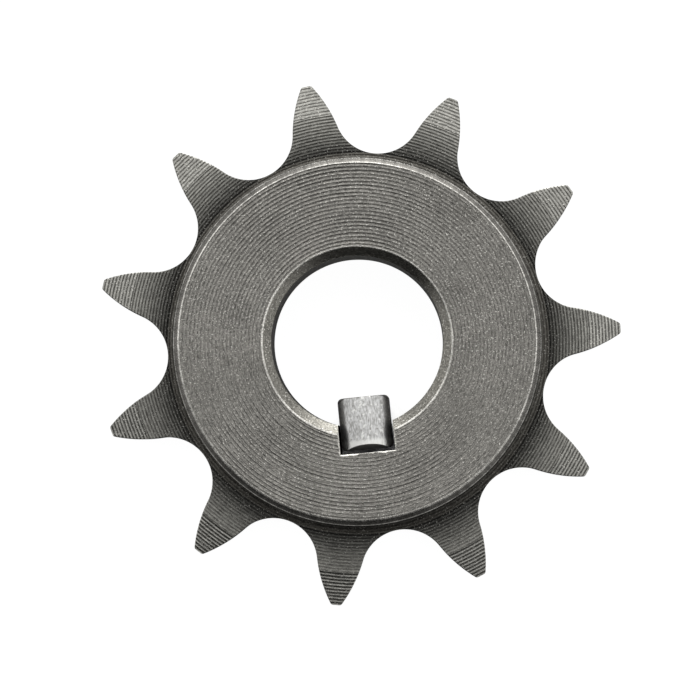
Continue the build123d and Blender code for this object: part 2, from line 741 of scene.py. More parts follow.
@dataclass(frozen=True)
class GroundKeySteel:
    """Bright drawn key steel, rounded on a belt: pale, nicked, with short streaks up the height.

    The belt's grit leaves scratches of some hundredths of a millimetre. They are drawn wider than real,
    so as to show.
    """

    name: str = "ground_key_steel"
    colour: str = "d3d3d2"
    scuff_colour: str = "9c9b98"
    bright_colour: str = "ecece8"
    roughness: float = 0.37
    # How much smoother and rougher than that the streaks are
    smoother: float = 0.08
    rougher: float = 0.16
    streak_width_mm: float = 0.13
    streak_length_mm: float = 0.45
    nick_mm: float = 0.35
    # The noise that a scuff or a nick starts from, and where it is full
    scuff_span: Span = (0.40, 0.66)
    nick_span: Span = (0.60, 0.72)
    nick_share: float = 0.8
    # A painted highlight toward the key's outer face: where it starts, and where it is full
    highlight_from_mm: float = -9.15
    highlight_to_mm: float = -9.45
    highlight_share: float = 0.85
    bump_mm: float = 0.014

    def material(self) -> bpy.types.Material:
        """Builds the material.

        Returns:
            The material, with its streaks up the key's height.
        """
        made, tree, steel = new_steel(self.name)
        place = add_node(tree, "ShaderNodeTexCoord").outputs["Object"]
        across = 1 / (self.streak_width_mm * MM)
        along = 1 / (self.streak_length_mm * MM)
        drawn = add_node(
            tree, "ShaderNodeMapping", inputs={"Vector": place, "Scale": (across, along, across)}
        )
        streaks = add_node(
            tree,
            "ShaderNodeTexNoise",
            inputs={"Vector": drawn.outputs[0], "Scale": 1.0, "Detail": 2.0, "Roughness": 0.6},
        ).outputs["Fac"]
        scuff = add_node(
            tree,
            "ShaderNodeMapRange",
            inputs={"Value": streaks, "From Min": self.scuff_span[0], "From Max": self.scuff_span[1]},
        )
        scuffed = add_node(
            tree,
            "ShaderNodeMix",
            {"data_type": "RGBA"},
            {"Factor": scuff.outputs[0], 6: linear(self.colour), 7: linear(self.scuff_colour)},
        )
        tint = add_node(
            tree,
            "ShaderNodeMix",
            {"data_type": "RGBA"},
            {
                "Factor": self.bright_places(tree, place),
                6: scuffed.outputs[2],
                7: linear(self.bright_colour),
            },
        )
        tree.links.new(tint.outputs[2], steel.inputs["Base Color"])
        rough = add_node(
            tree,
            "ShaderNodeMapRange",
            inputs={
                "Value": streaks,
                "From Min": NOISE_WIDE[0],
                "From Max": NOISE_WIDE[1],
                "To Min": self.roughness - self.smoother,
                "To Max": self.roughness + self.rougher,
            },
        )
        tree.links.new(rough.outputs[0], steel.inputs["Roughness"])
        bump = add_node(
            tree,
            "ShaderNodeBump",
            inputs={"Height": streaks, "Strength": 1.0, "Distance": self.bump_mm * MM},
        )
        tree.links.new(bump.outputs[0], steel.inputs["Normal"])
        return made

    def bright_places(self, tree: NodeTree, place: Socket) -> Socket:
        """Finds where the metal is brighter: in nicks, and in a painted highlight toward the key's outer
        face.

        Args:
            tree: the material's nodes.
            place: the place on the object.

        Returns:
            The share of the bright colour.
        """
        nicks = add_node(
            tree,
            "ShaderNodeTexNoise",
            inputs={"Vector": place, "Scale": 1 / (self.nick_mm * MM), "Detail": 1.0},
        )
        nicked = add_node(
            tree,
            "ShaderNodeMapRange",
            inputs={
                "Value": nicks.outputs["Fac"],
                "From Min": self.nick_span[0],
                "From Max": self.nick_span[1],
                "To Min": 0.0,
                "To Max": self.nick_share,
            },
        )
        split = add_node(tree, "ShaderNodeSeparateXYZ", inputs={0: place})
        # Painted highlight toward the key's outer face
        band = add_node(
            tree,
            "ShaderNodeMapRange",
            inputs={
                "Value": split.outputs[1],
                "From Min": self.highlight_from_mm * MM,
                "From Max": self.highlight_to_mm * MM,
                "To Min": 0.0,
                "To Max": self.highlight_share,
            },
        )
        return add_node(
            tree, "ShaderNodeMath", {"operation": "MAXIMUM"}, {0: nicked.outputs[0], 1: band.outputs[0]}
        ).outputs[0]


@dataclass
class Unevenness:
    """Slow changes in how deep each mark was cut as the work turned."""

    segments: int
    rows: int = 64
    blur: int = 4
    seed: int = 11
    # How many standard deviations count as a full swing
    full_swing: float = 2.0
    table: np.ndarray = field(init=False)

    def __post_init__(self) -> None:
        """Draws one smooth closed curve for each mark."""
        draws = np.random.default_rng(self.seed).normal(size=(self.rows, self.segments))
        smooth = sum(np.roll(draws, shift, axis=1) for shift in range(-self.blur, self.blur + 1))
        self.table = np.clip(smooth / smooth.std() / self.full_swing, -1, 1)

    def at(self, mark: int) -> np.ndarray:
        """Gives the curve of one mark, one value from -1 to 1 for each segment."""
        return self.table[mark % self.rows]


@dataclass
class ToothForm:
    """The outline of the teeth, as arcs: a roller seat, two convex flanks and a rounded tip land."""

    teeth: int = 11
    pitch_mm: float = 12.7
    seat_radius_mm: float = 4.22
    seat_angle_deg: float = 125.0
    flank_radius_mm: float = 13.3
    height_mm: float = 2.7
    corner_radius_mm: float = 0.3

    def __post_init__(self) -> None:
        """Works out the arcs' centres and where each arc ends."""
        self.half_step = math.pi / self.teeth
        self.pitch_radius = self.pitch_mm / 2 / math.sin(self.half_step)
        self.tip = self.pitch_radius + self.height_mm
        self.root = self.pitch_radius - self.seat_radius_mm
        turn = math.pi - math.radians(self.seat_angle_deg) / 2
        out = np.array([math.cos(turn), math.sin(turn)])
        seat_centre = np.array([self.pitch_radius, 0.0])
        flank_centre = seat_centre + out * (self.seat_radius_mm + self.flank_radius_mm)
        self.seat_end = float(np.hypot(*(seat_centre + out * self.seat_radius_mm)))
        self.flank_far = float(np.hypot(*flank_centre))
        self.flank_turn = math.atan2(flank_centre[1], flank_centre[0])
        self.corner_far = self.tip - self.corner_radius_mm
        inner = self.flank_radius_mm - self.corner_radius_mm
        self.corner_turn = self.flank_turn - self.opening(self.corner_far, self.flank_far, inner)
        corner = self.corner_far * np.array([math.cos(self.corner_turn), math.sin(self.corner_turn)])
        towards = (corner - flank_centre) / inner
        self.flank_end = float(np.hypot(*(flank_centre + towards * self.flank_radius_mm)))

    @staticmethod
    def opening(near: float, far: float, radius: float) -> float:
        """Works out the angle at the axis between the centre of a circle and a point on it.

        Args:
            near: how far the point is from the axis.
            far: how far the centre is from the axis.
            radius: the circle's radius.

        Returns:
            The angle in radians.
        """
        cosine = (near**2 + far**2 - radius**2) / (2 * near * far)
        return math.acos(max(-1.0, min(1.0, cosine)))

    def half_angle(self, radius: float) -> float:
        """Works out half the angle that a tooth fills at a distance from the axis.

        Args:
            radius: distance from the axis in mm, from the root to the tip.

        Returns:
            The angle in radians.
        """
        if radius < self.seat_end:
            gap = self.opening(radius, self.pitch_radius, self.seat_radius_mm)
        elif radius < self.flank_end:
            gap = self.flank_turn - self.opening(radius, self.flank_far, self.flank_radius_mm)
        else:
            gap = self.corner_turn - self.opening(radius, self.corner_far, self.corner_radius_mm)
        return self.half_step - gap


@dataclass
class Sprocket:
    """The sprocket as the lathe, the tooth cutter and the broach left it."""

    form: ToothForm = field(default_factory=ToothForm)
    plate_mm: float = 3.0
    relief_height_mm: float = 3.15
    relief_depth_mm: float = 0.55
    total_height_mm: float = 10.0
    hub_radius_mm: float = 17.4
    hub_chamfer_mm: float = 0.45
    hub_root_radius_mm: float = 0.85
    bore_radius_mm: float = 8.125
    front_chamfer_mm: float = 0.8
    front_drop_mm: float = 0.6
    back_chamfer_mm: float = 0.5
    keyway_width_mm: float = 5.2
    keyway_floor_mm: float = 10.525
    first_gap_deg: float = -84.1
    segments_per_tooth: int = 16

    # How deep the edges of the teeth are broken, how wide in depths, and how far out it takes to grow
    edge_break_mm: float = 0.05
    edge_break_width: float = 1.6
    edge_break_growth_mm: float = 0.3

    # The edges of the hub face are rubbed more on one side, and so are its feed marks
    rubbed_edge_mm: float = 0.17
    rubbed_side_deg: float = 14.0
    rubbed_side_share: float = 0.8
    sharp_side_deg: float = 70.0
    sharp_side_share: float = 0.65

    # Its rubbed corners, from outside to inside and then at the back
    wall_arris: Arris = ((0.0, -0.05, Cut.HUB_WALL), (-0.02, 0.0, Cut.RUBBED), (-0.08, 0.06, Cut.RUBBED))
    face_arris: Arris = ((0.02, -0.04, Cut.HUB_CHAMFER), (-0.02, -0.014, Cut.RUBBED))
    bore_arris: Arris = ((0.03, -0.012, Cut.RUBBED), (-0.02, -0.035, Cut.RUBBED))
    back_arris: Arris = ((-0.03, 0.02, Cut.BORE_CHAMFER), (0.03, 0.0, Cut.RUBBED))
    # How far from a corner the last plain ring lies
    lip_mm: float = 0.03

    # The swept root has feed marks on its flatter part, and plain rings between two turns on the rest
    root_unmarked_share: float = 0.3
    root_turns_deg: Span = (220.0, 180.0)
    root_rings_above: int = 5
    wall_unmarked_mm: float = 0.1

    # The front chamfer is rubbed down a little, and its rings lie at these shares of its width
    chamfer_worn_mm: float = 0.02
    chamfer_shares: tuple[float, ...] = (0.10, 0.35, 0.65, 0.95)

    # Rows at both ends of a tooth, where its outline turns fastest
    root_rows_mm: float = 0.085
    root_row_shares: tuple[float, ...] = (0.04, 0.16, 0.36, 0.64, 1.0)
    first_mark_mm: float = 0.1
    tip_row_turns_deg: tuple[int, ...] = tuple(range(80, -1, -10))
    tip_row_gap_mm: float = 0.015
    tip_land_mm: float = 0.01

    # The keyway's burr, rubbed off raggedly, and the broach that cut it
    keyway_burr_mm: float = 0.12
    burr_span: Span = (0.3, 1.7)
    burr_seed: int = 5
    broach_pace_mm: float = 0.3
    broach_floor_points: int = 18
    broach_overrun_mm: float = 1.0

    # The ridges of the feed marks turn by more than this
    ridge_deg: float = 10.0

    def __post_init__(self) -> None:
        """Works out the rings that the rest is measured from."""
        self.segments = self.form.teeth * self.segments_per_tooth
        self.face_inner = self.bore_radius_mm + self.front_chamfer_mm
        self.face_outer = self.hub_radius_mm - self.hub_chamfer_mm
        self.relief_start = self.form.tip - self.relief_height_mm
        self.foot = self.hub_radius_mm + self.hub_root_radius_mm
        self.shoulder = self.plate_mm + self.hub_root_radius_mm
        self.bore_top = self.total_height_mm - self.front_drop_mm
        self.turns = math.radians(self.first_gap_deg) + np.arange(self.segments) * math.tau / self.segments
        self.uneven = Unevenness(self.segments)
        facing = np.cos(self.turns - math.radians(self.rubbed_side_deg))
        self.face_left = 1 - self.rubbed_side_share * np.clip(facing, 0, 1) ** 2
        keen = (1 + np.cos(self.turns - math.radians(self.sharp_side_deg))) / 2
        self.rubbed_edges = self.rubbed_edge_mm * (1 - self.sharp_side_share * keen)

        self.face_marks = FeedMarks(feed_mm=0.348, depth_mm=0.031, start_mm=self.face_inner)
        self.plate_marks = FeedMarks(feed_mm=0.298, depth_mm=0.015, start_mm=self.relief_start)
        self.relief_marks = FeedMarks(
            feed_mm=0.313, depth_mm=0.013, start_mm=self.relief_start, unevenness=0.3
        )
        self.back_marks = FeedMarks(feed_mm=0.40, depth_mm=0.014, start_mm=self.relief_start)
        # Marks on the walls are seen slantwise, and three points a mark are enough there
        few = (0.0, 0.3, 0.7)
        self.wall_marks = FeedMarks(
            feed_mm=0.32, depth_mm=0.010, start_mm=0.0, course=Course.ALONG, phases=few
        )
        self.bore_marks = FeedMarks(
            feed_mm=0.30, depth_mm=0.014, start_mm=0.0, course=Course.ALONG, phases=few
        )

    def sunk(self, marks: FeedMarks, place: float) -> np.ndarray:
        """Works out how deep each segment of a ring lies below its ridges.

        Args:
            marks: the feed marks there.
            place: where the ring lies across the marks.

        Returns:
            One depth in mm for each segment.
        """
        swing = 1 + marks.unevenness * self.uneven.at(marks.number(place))
        return marks.depth_mm * marks.hollow(place) * swing

    def ring(self, skin: SkinMesh, radius: np.ndarray | float, height: np.ndarray | float) -> list[int]:
        """Adds a full ring of points.

        Args:
            skin: takes the points.
            radius: in mm, one for all or one for each segment.
            height: in mm, one for all or one for each segment.

        Returns:
            The numbers of its points.
        """
        radii = np.broadcast_to(np.asarray(radius, float), self.turns.shape)
        heights = np.broadcast_to(np.asarray(height, float), self.turns.shape)
        return skin.add_row(polar_row(radii, self.turns, heights))

    def corner(self, skin: SkinMesh, radius: float, height: float, arris: Arris) -> Rings:
        """Adds the rings of a corner that was rubbed round.

        Args:
            skin: takes the points.
            radius: where the corner was sharp, in mm.
            height: where the corner was sharp, in mm.
            arris: how the rings lie round the sharp corner.

        Returns:
            Its rings.
        """
        return [(self.ring(skin, radius + out, height + up), cut) for out, up, cut in arris]

    def root_rings(self, skin: SkinMesh) -> Rings:
        """Adds the swept root of the hub, from the plate up to the wall.

        Args:
            skin: takes the points.

        Returns:
            Its rings.
        """
        rings: Rings = []
        sweep = self.hub_root_radius_mm
        marked_from = self.hub_radius_mm + sweep * self.root_unmarked_share
        for radius in [self.foot, *reversed(self.plate_marks.stations(marked_from, self.foot))]:
            height = self.shoulder - math.sqrt(sweep**2 - (self.foot - radius) ** 2)
            depth = self.sunk(self.plate_marks, radius)
            rings.append((self.ring(skin, radius, height - depth), Cut.HUB_ROOT))
        for turn in np.radians(np.linspace(*self.root_turns_deg, self.root_rings_above)):
            radius = self.foot + sweep * math.cos(turn)
            height = self.shoulder + sweep * math.sin(turn)
            rings.append((self.ring(skin, radius, height), Cut.HUB_ROOT))
        return rings

    def wall_rings(self, skin: SkinMesh) -> Rings:
        """Adds the wall of the hub with its chamfer, up to the face.

        Args:
            skin: takes the points.

        Returns:
            Its rings.
        """
        rings: Rings = []
        top = self.total_height_mm
        wall_top = top - self.hub_chamfer_mm
        for height in self.wall_marks.stations(self.shoulder, wall_top - self.wall_unmarked_mm):
            radius = self.hub_radius_mm - self.sunk(self.wall_marks, height)
            rings.append((self.ring(skin, radius, height), Cut.HUB_WALL))
        rings += self.corner(skin, self.hub_radius_mm, wall_top, self.wall_arris)
        rings += self.corner(skin, self.face_outer, top, self.face_arris)
        rings.append((self.ring(skin, self.face_outer - self.rubbed_edges, top), Cut.RUBBED))
        return rings

    def face_rings(self, skin: SkinMesh) -> Rings:
        """Adds the face of the hub, from outside to inside.

        Args:
            skin: takes the points.

        Returns:
            Its rings.
        """
        rings: Rings = []
        top = self.total_height_mm
        inner, outer = self.face_inner + self.rubbed_edge_mm, self.face_outer - self.rubbed_edge_mm
        for radius in reversed(self.face_marks.stations(inner, outer)):
            depth = self.sunk(self.face_marks, radius) * self.face_left
            rings.append((self.ring(skin, radius, top - depth), Cut.HUB_FACE))
        rings.append((self.ring(skin, inner - self.lip_mm, top), Cut.HUB_FACE))
        rings += self.corner(skin, self.face_inner, top, self.bore_arris)
        return rings

    def bore_rings(self, skin: SkinMesh) -> Rings:
        """Adds the front chamfer and the wall of the bore, from the face to the back chamfer.

        Args:
            skin: takes the points.

        Returns:
            Its rings.
        """
        rings: Rings = []
        worn_top = self.total_height_mm - self.chamfer_worn_mm
        for share in self.chamfer_shares:
            radius = self.face_inner - self.front_chamfer_mm * share
            height = worn_top - self.front_drop_mm * share
            rings.append((self.ring(skin, radius, height), Cut.BORE_CHAMFER))
        rings.append((self.ring(skin, self.bore_radius_mm, self.bore_top - self.lip_mm), Cut.BORE_CHAMFER))
        marked_to = self.bore_top - 2 * self.lip_mm
        for height in reversed(self.bore_marks.stations(self.back_chamfer_mm, marked_to)):
            radius = self.bore_radius_mm + self.sunk(self.bore_marks, height)
            rings.append((self.ring(skin, radius, height), Cut.BORE_WALL))
        rings.append((self.ring(skin, self.bore_radius_mm, self.back_chamfer_mm), Cut.BORE_WALL))
        return rings

    def back_rings(self, skin: SkinMesh) -> Rings:
        """Adds the back chamfer and the back face, out to the root of the teeth.

        Args:
            skin: takes the points.

        Returns:
            Its rings.
        """
        inner, root = self.bore_radius_mm + self.back_chamfer_mm, self.form.root
        rings = self.corner(skin, inner, 0.0, self.back_arris)
        for radius in [*self.back_marks.stations(inner + self.lip_mm, root), root]:
            rings.append((self.ring(skin, radius, self.sunk(self.back_marks, radius)), Cut.BACK))
        return rings

    def turned_rings(self, skin: SkinMesh) -> Rings:
        """Adds the rings from the root of the teeth over the hub, through the bore and out over the back.

        Args:
            skin: takes the points.

        Returns:
            All of them in order.
        """
        root = self.form.root
        start = self.ring(skin, root, self.plate_mm - self.sunk(self.plate_marks, root))
        return [
            (start, Cut.PLATE),
            *self.root_rings(skin),
            *self.wall_rings(skin),
            *self.face_rings(skin),
            *self.bore_rings(skin),
            *self.back_rings(skin),
        ]

    def side_height(self, radius: float, top: bool) -> float:
        """Works out the height of one side of the plate, before its feed marks.

        Args:
            radius: distance from the axis in mm.
            top: whether this is the upper side.

        Returns:
            The height in mm.
        """
        past = max(0.0, radius - self.relief_start)
        lost = self.relief_depth_mm * past / self.relief_height_mm
        return self.plate_mm - lost if top else lost

    def side_marks(self, radius: float, top: bool) -> FeedMarks:
        """Chooses the feed marks on one side of the plate.

        Args:
            radius: distance from the axis in mm.
            top: whether this is the upper side.

        Returns:
            The marks there.
        """
        if radius > self.relief_start - TOLERANCE_MM:
            return self.relief_marks
        return self.plate_marks if top else self.back_marks

    def tooth_radii(self) -> list[float]:
        """Lays out the rows of a tooth: the feed marks, and closer rows at both ends.

        Returns:
            The radii in mm, from just above the root to the tip.
        """
        root, tip = self.form.root, self.form.tip
        marks = self.plate_marks.stations(root + self.first_mark_mm, self.relief_start) + [self.relief_start]
        marks += self.relief_marks.stations(self.relief_start, self.form.flank_end)
        near_root = [root + self.root_rows_mm * share for share in self.root_row_shares]
        corner = self.form.corner_radius_mm
        near_tip = [tip - corner * (1 - math.cos(math.radians(turn))) for turn in self.tip_row_turns_deg]
        return near_root + marks + [radius for radius in near_tip if radius > marks[-1] + self.tip_row_gap_mm]

    def row_depths(self, radius: float, which: np.ndarray, top: bool) -> np.ndarray:
        """Works out how far a row of a tooth lies below its plain side.

        Args:
            radius: the row's distance from the axis in mm.
            which: the segments that it spans.
            top: whether it is on the upper side.

        Returns:
            Its depths in mm, with the broken edge at both ends, and all along at the tip.
        """
        marks = self.side_marks(radius, top)
        if radius > self.form.tip - self.tip_land_mm:
            return np.full(len(which), self.edge_break_mm + marks.depth_mm * marks.hollow(radius))
        depths = self.sunk(marks, radius)[which]
        grown = min(1.0, (radius - self.form.root) / self.edge_break_growth_mm)
        depths[[0, -1]] += self.edge_break_mm * grown
        return depths

    def tooth_side(self, skin: SkinMesh, number: int, ring: list[int], top: bool) -> list[list[int]]:
        """Adds one side of a tooth as rows from its root to its tip.

        Args:
            skin: takes the points and the faces.
            number: which tooth, counted round from the first gap.
            ring: the root ring on that side.
            top: whether this is the upper side.

        Returns:
            The rows, with its part of the root ring first.
        """
        middle = math.radians(self.first_gap_deg) + (number + 0.5) * math.tau / self.form.teeth
        count = self.segments_per_tooth
        which = np.arange(number * count, (number + 1) * count + 1) % self.segments
        rows = [[ring[i] for i in which]]
        radii = self.tooth_radii()
        for radius in radii:
            half = self.form.half_angle(radius)
            inset = self.edge_break_mm * self.edge_break_width / (radius * half)
            shares = np.concatenate(([-1.0], np.linspace(-1 + inset, 1 - inset, count - 1), [1.0]))
            depths = self.row_depths(radius, which, top)
            level = self.side_height(radius, top)
            heights = level - depths if top else level + depths
            rows.append(skin.add_row(polar_row(np.full(count + 1, radius), middle + shares * half, heights)))
        plain = Cut.PLATE if top else Cut.BACK
        for low, high, radius in zip(rows, rows[1:], radii):
            cut = Cut.RELIEF if radius > self.relief_start + TOLERANCE_MM else plain
            first, second = (low, high) if top else (high, low)
            skin.join_rows(first, second, cut, closed=False)
        return rows

    def tooth_walls(self, skin: SkinMesh, upper: list[list[int]], lower: list[list[int]]) -> None:
        """Closes a tooth round its edge.

        Args:
            skin: takes the faces.
            upper: the rows of its upper side.
            lower: the rows of its lower side.
        """
        left, left_below = [row[0] for row in upper], [row[0] for row in lower]
        right, right_below = [row[-1] for row in upper], [row[-1] for row in lower]
        skin.join_rows(left, left_below, Cut.FLANK, closed=False)
        skin.join_rows(right_below, right, Cut.FLANK, closed=False)
        skin.join_rows(upper[-1], lower[-1], Cut.HUB_CHAMFER, closed=False)

    def blank(self, materials: list[bpy.types.Material]) -> bpy.types.Object:
        """Builds the toothed blank, whole but for its keyway.

        Args:
            materials: one for each cut, in order.

        Returns:
            The blank.
        """
        skin = SkinMesh()
        rings = self.turned_rings(skin)
        for (low, _), (high, cut) in zip(rings, rings[1:]):
            skin.join_rows(high, low, cut)
        for number in range(self.form.teeth):
            upper = self.tooth_side(skin, number, rings[0][0], top=True)
            lower = self.tooth_side(skin, number, rings[-1][0], top=False)
            self.tooth_walls(skin, upper, lower)
        return skin.place("turned_sprocket", materials)

    def broach_outline(self) -> list[tuple[float, float, float, float]]:
        """Lays out the broach in mm, from the axis down one wall, across the floor and back up.

        Returns:
            For each point its place and the direction out of the metal that is cut away.
        """
        half, floor, pace = self.keyway_width_mm / 2, self.keyway_floor_mm, self.broach_pace_mm
        down = np.arange(0.0, floor - pace / 2, pace)
        left = [(-half, -drop, -1.0, 0.0) for drop in down]
        right = [(half, -drop, 1.0, 0.0) for drop in reversed(down)]
        across = np.linspace(-half, half, self.broach_floor_points)[1:-1]
        base = [(along, -floor, 0.0, -1.0) for along in across]
        return left + [(-half, -floor, -1.0, -1.0)] + base + [(half, -floor, 1.0, -1.0)] + right

    def broach(self, materials: list[bpy.types.Material]) -> bpy.types.Object:
        """Builds the metal that the keyway takes away, flared at both ends where its burr was rubbed off.

        Args:
            materials: one for each cut, in order.

        Returns:
            The solid to cut with.
        """
        outline = self.broach_outline()
        ragged = np.random.default_rng(self.burr_seed).uniform(*self.burr_span, (2, len(outline)))
        ragged *= self.keyway_burr_mm
        top, past = self.total_height_mm, self.broach_overrun_mm
        skin = SkinMesh()
        rows = []
        for level in range(4):
            row = []
            for (x, y, out_x, out_y), below, above in zip(outline, *ragged):
                height = (-past, below, top - above, top + past)[level]
                grown = (past + below, 0.0, 0.0, past + above)[level]
                row.append((x + out_x * grown, y + out_y * grown, height))
            rows.append(skin.add_row(row))
        skin.add_face(rows[0][::-1], Cut.RUBBED)
        skin.add_face(rows[-1], Cut.RUBBED)
        for low, high, cut in zip(rows, rows[1:], (Cut.RUBBED, Cut.KEYWAY, Cut.RUBBED)):
            skin.join_rows(low, high, cut)
        return skin.place("broach", materials)

    def crease(self, made: bpy.types.Object) -> None:
        """Keeps the ridges of the feed marks and the real corners crisp, and the rest smooth.

        Args:
            made: the sprocket.
        """
        made.data.shade_smooth()
        skin = bmesh.new()
        skin.from_mesh(made.data)
        for edge in skin.edges:
            if len(edge.link_faces) != 2:
                continue
            marked = all(face.material_index in FEED_MARKED for face in edge.link_faces)
            limit = self.ridge_deg if marked else CORNER_DEG
            edge.smooth = edge.calc_face_angle(0) < math.radians(limit)
        skin.to_mesh(made.data)
        skin.free()

    def finishes(self) -> dict[Cut, LatheSteel | CutSteel]:
        """Chooses the finish of each kind of surface.

        Returns:
            One finish for each cut.
        """
        # The lines are faint where the face was wiped and handled, and dark where oil stays in them and
        # painted shade fills their hollows
        clear = MarkedLine(depth=0.78, ragged=0.15)
        deep = MarkedLine(centre=0.38, depth=0.86, ragged=0.1)
        return {
            # Faced and then handled: mid grey, with faint lines and painted shade toward one side
            Cut.HUB_FACE: LatheSteel(
                "faced_hub_steel", marks=self.face_marks, side_shade=PaintedSideShade(turn_deg=74.0)
            ),
            # Faced beside the hub, out of reach of hands: clear dark lines, and painted shade by the hub wall
            Cut.PLATE: LatheSteel(
                "faced_plate_steel",
                colour="9a9993",
                grain_swing=0.3,
                speck_share=0.45,
                marks=self.plate_marks,
                line=clear,
                hub_wall_shade=HubWallShade(inner_mm=18.3, outer_mm=22.3, left=0.12),
            ),
            # Turned at a slant in a last light cut: the palest face, ringed with deep dark lines
            Cut.RELIEF: LatheSteel(
                "tapered_rim_steel",
                colour="a7a6a0",
                roughness=0.34,
                grain_swing=0.28,
                marks=self.relief_marks,
                line=deep,
            ),
            # Faced like the hub, but with a coarser feed and no oil
            Cut.BACK: LatheSteel("faced_back_steel", marks=self.back_marks),
            # Turned along the bar: painted dark grey as shade, for it faces away from the light, with faint
            # rings
            Cut.HUB_WALL: LatheSteel("turned_wall_steel", colour="53514d", marks=self.wall_marks),
            # Swept by the tool's nose, which rubs rather than cuts: dull, and dark with grime and painted
            # shade in the corner, with clear rings
            Cut.HUB_ROOT: LatheSteel(
                "turned_root_steel",
                colour="5e5c57",
                roughness=0.52,
                grain_swing=0.3,
                speck_share=0.4,
                marks=self.plate_marks,
                line=clear,
            ),
            # Cut by one plunge of a flat tool: even and a little smoother, with few specks
            Cut.HUB_CHAMFER: LatheSteel(
                "turned_chamfer_steel", colour="6b6965", roughness=0.30, grain_swing=0.25, speck_share=0.3
            ),
            # Cut by one plunge of the boring tool: the smoothest turning, with soft bright streaks
            Cut.BORE_CHAMFER: LatheSteel(
                "bored_chamfer_steel",
                colour="75736d",
                roughness=0.22,
                roughness_swing=0.10,
                grain_swing=0.5,
                bump_mm=0.006,
            ),
            # Bored: ringed like the outer wall, and a little paler
            Cut.BORE_WALL: LatheSteel("bored_wall_steel", colour="66645f", marks=self.bore_marks),
            # Cut by a hob that runs along the axis: mid grey, with fine lines up the wall
            Cut.FLANK: CutSteel("hobbed_flank_steel"),
            # Broached: painted nearly black as the shade in the deep slot, and it hardly gleams
            Cut.KEYWAY: CutSteel(
                "keyway_shade_steel",
                colour="201f1d",
                line_colour="121211",
                roughness=0.8,
                metallic=0.0,
                specular=0.15,
                line_mm=0.2,
            ),
            # Arrises rubbed by handling: pale and smooth, paler still as a painted highlight, with stains
            # between
            Cut.RUBBED: LatheSteel(
                "rubbed_edge_highlight_steel",
                colour="c2c0ba",
                roughness=0.30,
                roughness_swing=0.12,
                grain_swing=0.45,
                stain=0.3,
            ),
        }

    def build(self) -> bpy.types.Object:
        """Builds the finished sprocket in the place of its CAD node.

        Returns:
            The object, dressed and riding on its body.
        """
        finishes = self.finishes()
        made = self.blank([finishes[cut].material() for cut in Cut])
        carve(made, self.broach(list(made.data.materials)))
        self.crease(made)
        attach(made, BODY)
        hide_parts("sprocket")
        made.data.calc_loop_triangles()
        log.info("sprocket: %d triangles", len(made.data.loop_triangles))
        return made


